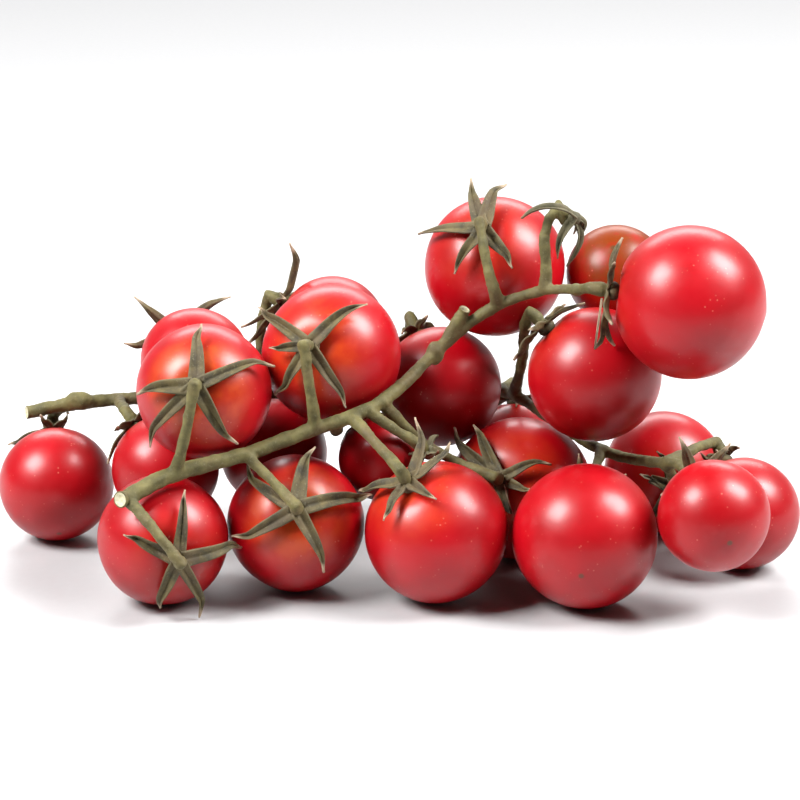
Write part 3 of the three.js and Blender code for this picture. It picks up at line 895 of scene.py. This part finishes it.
# %% A copy of the stem, with flared ends and swollen joints
VOXEL = 0.28 * MM
STALK_WIDTH = 2.2 * MM
STALK_END = HUB_HEIGHT + 0.6 * MM
FLARE_AT_HUB = 0.58 * STALK_WIDTH
FLARE_AT_STALK = 0.42 * STALK_WIDTH
JOINT_RADIUS = 0.48 * STALK_WIDTH
JOINT_LENGTH = 0.70 * STALK_WIDTH
SMOOTH_ROUNDS = 26
KNOTS = [
    ((-69.6, 23.4, 28.6), (3.2, 1.7, 1.9)),
    ((8.6, -1.6, 47.4), (1.8, 1.8, 2.6)),
]


def along_axis(end, distance):
    """The place at this distance above the skin, and the turn that takes +Z to the axis."""
    turn = Vector((0, 0, 1)).rotation_difference(end.axis).to_matrix().to_4x4()
    return Matrix.Translation(end.centre + end.axis * (end.radius + distance)) @ turn


def add_flare(end):
    """The stalk's end, which widens into the hub."""
    bpy.ops.object.select_all(action="DESELECT")
    bpy.ops.mesh.primitive_cone_add(vertices=20, radius1=FLARE_AT_HUB * end.hub_size,
                                    radius2=FLARE_AT_STALK, depth=STALK_END + 1.0 * MM)
    flare = bpy.context.object
    flare.data.transform(along_axis(end, STALK_END / 2 + 0.6 * MM))
    return flare


def add_joint(end):
    """The swollen ring where a ripe fruit breaks off."""
    bpy.ops.object.select_all(action="DESELECT")
    bpy.ops.mesh.primitive_uv_sphere_add(segments=16, ring_count=10, radius=1)
    joint = bpy.context.object
    size = Matrix.Diagonal((JOINT_RADIUS, JOINT_RADIUS, JOINT_LENGTH, 1))
    joint.data.transform(along_axis(end, STALK_END + 1.3 * MM) @ size)
    return joint


def add_knot(place, radii):
    """The lump that an old leaf left on the stem."""
    bpy.ops.object.select_all(action="DESELECT")
    bpy.ops.mesh.primitive_uv_sphere_add(segments=20, ring_count=12, radius=MM)
    knot = bpy.context.object
    knot.data.transform(Matrix.Translation(Vector(place) * MM) @ Matrix.Diagonal((*radii, 1)))
    return knot


stem = copy_of(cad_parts["vine"], "stem")
pick(stem)
bpy.ops.object.mode_set(mode="EDIT")
bpy.ops.mesh.select_all(action="SELECT")
bpy.ops.mesh.remove_doubles(threshold=0.001 * MM)
bpy.ops.object.mode_set(mode="OBJECT")
swellings = [make(end) for end in [*fruits, *flowers] for make in (add_flare, add_joint)]
join_into(stem, [*swellings, *[add_knot(*knot) for knot in KNOTS]])
finish_modifier(stem, "REMESH", mode="VOXEL", voxel_size=VOXEL)
finish_modifier(stem, "SMOOTH", factor=0.5, iterations=SMOOTH_ROUNDS)
print("stem:", len(stem.data.polygons), "faces")

# %% Girth and lumps
def swell(piece, strength, size, depth):
    """Moves the surface out by up to `strength` along its normal, in lumps of `size`."""
    lumps = bpy.data.textures.new("lumps", "CLOUDS")
    lumps.noise_scale = size
    lumps.noise_depth = depth
    finish_modifier(piece, "DISPLACE", texture=lumps, texture_coords="LOCAL",
                    strength=strength, mid_level=0.5)


finish_modifier(stem, "DISPLACE", strength=0.16 * MM, mid_level=0.0)
swell(stem, 0.55 * MM, 3.5 * MM, 1)
swell(stem, 0.20 * MM, 0.9 * MM, 2)

# %% [markdown]
# ## Cut ends
#
# The stem was cut three times: at the end of each arm, and where a side shoot was taken off. The
# smoothing left those ends round, so each gets a short plug that stands just proud of it, wider at the
# cut, where the wood splays a little. Insets turn the plug's outer face into rings, the inner one sunk,
# because the pith dries first. Only the faces of the cut get the cream finish. Each row gives a cut's
# place, the way it faces, its radius and how far its plug stands out, with lengths in millimetres.

# %% Finish of the cuts
CUTS = [
    ((-54.85, -34.725, 26.5), (-0.55, -0.80, 0.15), 1.75, 1.9),
    ((-80.85, 23.275, 26), (-0.93, -0.35, 0.05), 1.5, 0.5),
    ((14.65, 0.275, 56), (0.42, -0.25, 0.87), 1.25, 0.6),
]


def cut_finish():
    """Pale wet wood with a darker, drier middle."""
    finish, shader = new_finish("cut_face")
    grain = ramp(finish, mottle(finish, 0.0006, 4), 0.35, 0.65)
    pale = blend_colour(finish, grain, (0.42, 0.39, 0.24, 1), (0.54, 0.51, 0.36, 1))
    shade = ramp(finish, painted(finish, "pith"), 0.3, 0.8, 0, 0.6)
    colour = blend_colour(finish, shade, pale, (0.11, 0.10, 0.045, 1))
    plug(finish.node_tree, shader.inputs["Base Color"], colour)
    shader.inputs["Roughness"].default_value = 0.6
    plug(finish.node_tree, shader.inputs["Normal"], bumps(finish, grain, 0.05 * MM))
    return finish


# %% Plugs
PLUG_LENGTH = 4.0 * MM
PLUG_TAPER = 0.72


def add_plug(place, outward, radius, proud):
    """A short tapered plug whose outer face is worked into rings."""
    outward = Vector(outward).normalized()
    radius = radius * MM
    bpy.ops.object.select_all(action="DESELECT")
    bpy.ops.mesh.primitive_cone_add(vertices=28, radius1=radius * PLUG_TAPER, radius2=radius,
                                    depth=PLUG_LENGTH)
    made = bpy.context.object
    made.data.materials.append(stem_green)
    made.data.materials.append(cut_face)
    bpy.ops.object.mode_set(mode="EDIT")
    bpy.ops.mesh.select_mode(type="FACE")
    bpy.ops.mesh.select_all(action="DESELECT")
    bpy.ops.object.mode_set(mode="OBJECT")
    for face in made.data.polygons:
        face.select = face.normal.z > 0.9
    bpy.ops.object.mode_set(mode="EDIT")
    bpy.ops.mesh.inset(thickness=radius * 0.06, depth=radius * 0.05)
    bpy.ops.mesh.inset(thickness=radius * 0.10, depth=0)
    bpy.ops.object.mode_set(mode="OBJECT")
    for face in made.data.polygons:
        face.material_index = 1 if face.select else 0
    bpy.ops.object.mode_set(mode="EDIT")
    bpy.ops.mesh.inset(thickness=radius * 0.18, depth=-radius * 0.04)
    bpy.ops.mesh.inset(thickness=radius * 0.16, depth=-radius * 0.14)
    bpy.ops.object.mode_set(mode="OBJECT")
    turn = Vector((0, 0, 1)).rotation_difference(outward).to_matrix().to_4x4()
    middle = Vector(place) * MM - outward * (PLUG_LENGTH / 2 - proud * MM)
    made.data.transform(Matrix.Translation(middle) @ turn)
    return made


cut_face = cut_finish()
stand_for(stem, "vine", stem_green)
join_into(stem, [add_plug(*cut) for cut in CUTS])
cut_middles = [
    (Vector(place) + Vector(outward).normalized() * proud) * MM
    for place, outward, _, proud in CUTS
]


def pith_at(co):
    """1 in the middle of a cut, 0 at its rim."""
    distance = min((co - place).length for place in cut_middles)
    return 1 - smooth_step(0.35 * MM, 1.1 * MM, distance)


paint(stem, "pith", pith_at)
pick(stem)
bpy.ops.object.shade_smooth_by_angle(angle=math.radians(50))
print("stem:", len(stem.data.polygons), "faces", [slot.material.name for slot in stem.material_slots])
